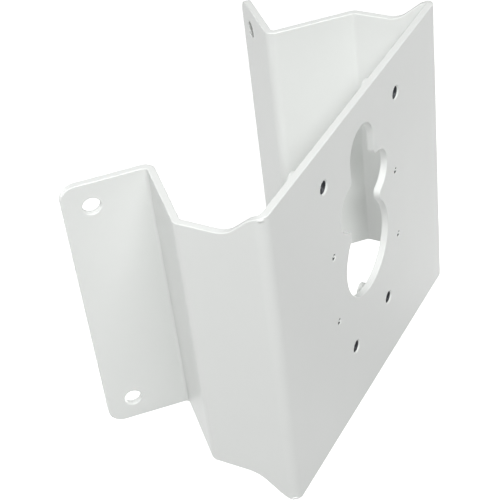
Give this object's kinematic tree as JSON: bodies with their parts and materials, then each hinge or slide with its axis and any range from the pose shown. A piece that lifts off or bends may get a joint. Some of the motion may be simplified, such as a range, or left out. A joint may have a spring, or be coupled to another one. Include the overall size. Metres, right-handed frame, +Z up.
{
  "type": "camera corner bracket",
  "caption": "Folded steel bracket that carries a security camera's arm on the outside corner of a building, with a cable opening and threaded bushes.",
  "frame": {"origin": "centre of the plate's front face, inside the cable opening", "axes": "+X across the plate to the right as seen from the front, +Y back towards the walls, +Z up"},
  "size_m": [0.2056, 0.1186, 0.188],
  "materials": {
    "sheet_coat": "white powder coat, fine orange peel, semi-gloss",
    "bush_coat": "white powder coat outside, bare steel thread inside"
  },
  "bodies": {
    "root": {"bracket_sheet": "sheet_coat", "threaded_bush_upper_left": "bush_coat", "threaded_bush_upper_right": "bush_coat", "threaded_bush_lower_left": "bush_coat", "threaded_bush_lower_right": "bush_coat"}
  },
  "joints": []
}
